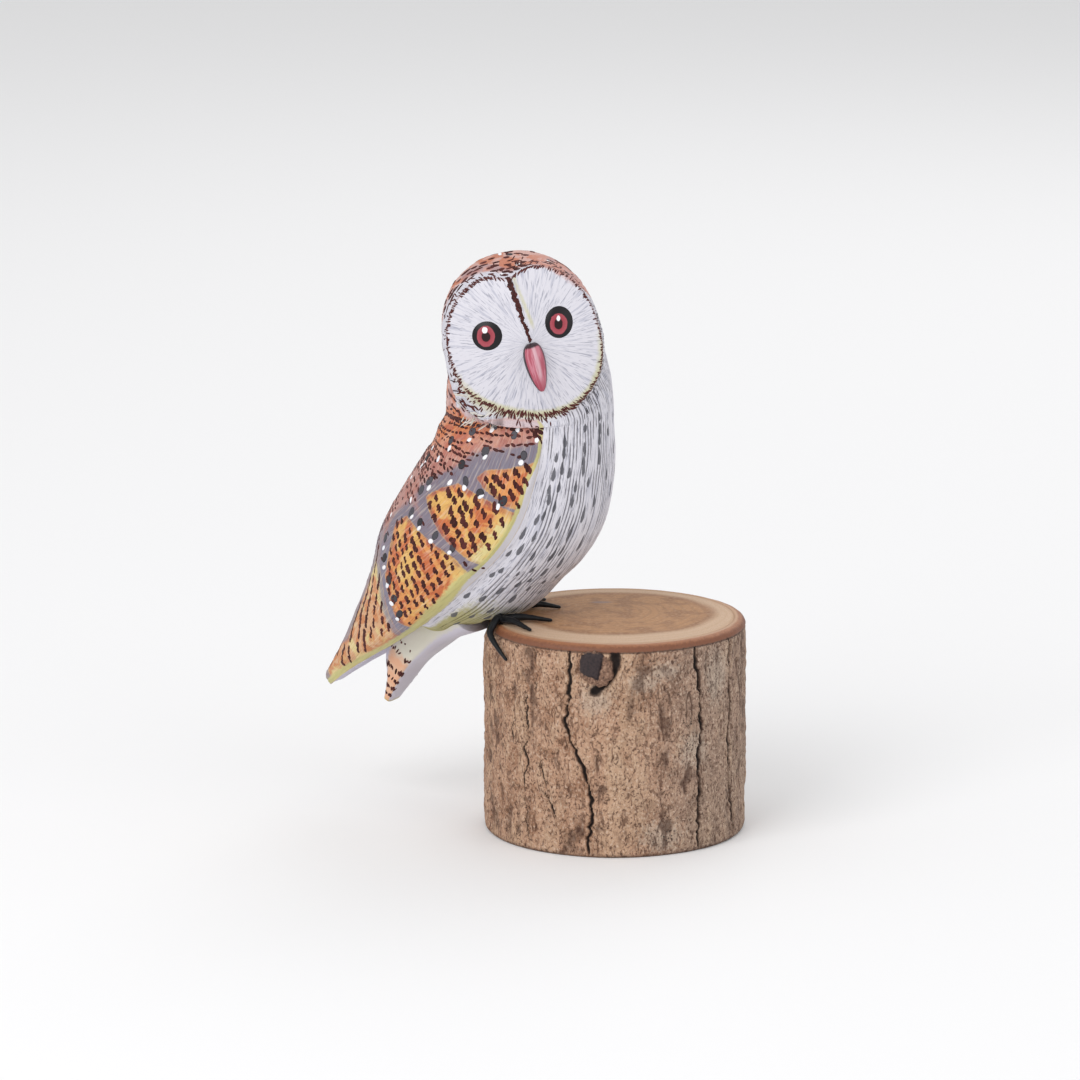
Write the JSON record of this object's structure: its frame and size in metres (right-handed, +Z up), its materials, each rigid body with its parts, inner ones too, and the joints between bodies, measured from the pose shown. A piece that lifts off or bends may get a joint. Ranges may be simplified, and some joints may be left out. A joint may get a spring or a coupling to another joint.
{
  "type": "carved wooden owl figurine",
  "caption": "Carved, painted wooden owl with its head turned over its shoulder, perched on the edge of a short cut log with bark.",
  "frame": {"origin": "middle of the log's flat underside", "axes": "+Z up along the log's axis; the owl's face looks along -Y and its body points 28 degrees from +X towards -Y"},
  "size_m": [0.1065, 0.0664, 0.1475],
  "materials": {
    "painted_wood_white": "matt white paint with grey brushed strokes over carved grooves",
    "painted_wood_wing": "matt orange, salmon and grey paint with brown dashes and white dots",
    "painted_wood_tail": "matt peach and lilac-white paint with brown bars",
    "painted_beak": "satin crimson-pink paint with a black outline",
    "painted_eye": "gloss black paint with a painted pink-red iris",
    "black_feet": "satin black modelling compound over wire",
    "log_wood": "sanded end grain, unvarnished",
    "log_bark": "rough natural bark with grey patches",
    "log_knot": "dark weathered branch stub"
  },
  "bodies": {
    "root": {"head": "painted_wood_white", "trunk": "painted_wood_white", "wing_right": "painted_wood_wing", "wing_left": "painted_wood_wing", "tail": "painted_wood_tail", "beak": "painted_beak", "eye_right": "painted_eye", "eye_left": "painted_eye", "foot_right": "black_feet", "foot_left": "black_feet", "log_wood": "log_wood", "log_bark": "log_bark", "log_knot": "log_knot"}
  },
  "joints": []
}
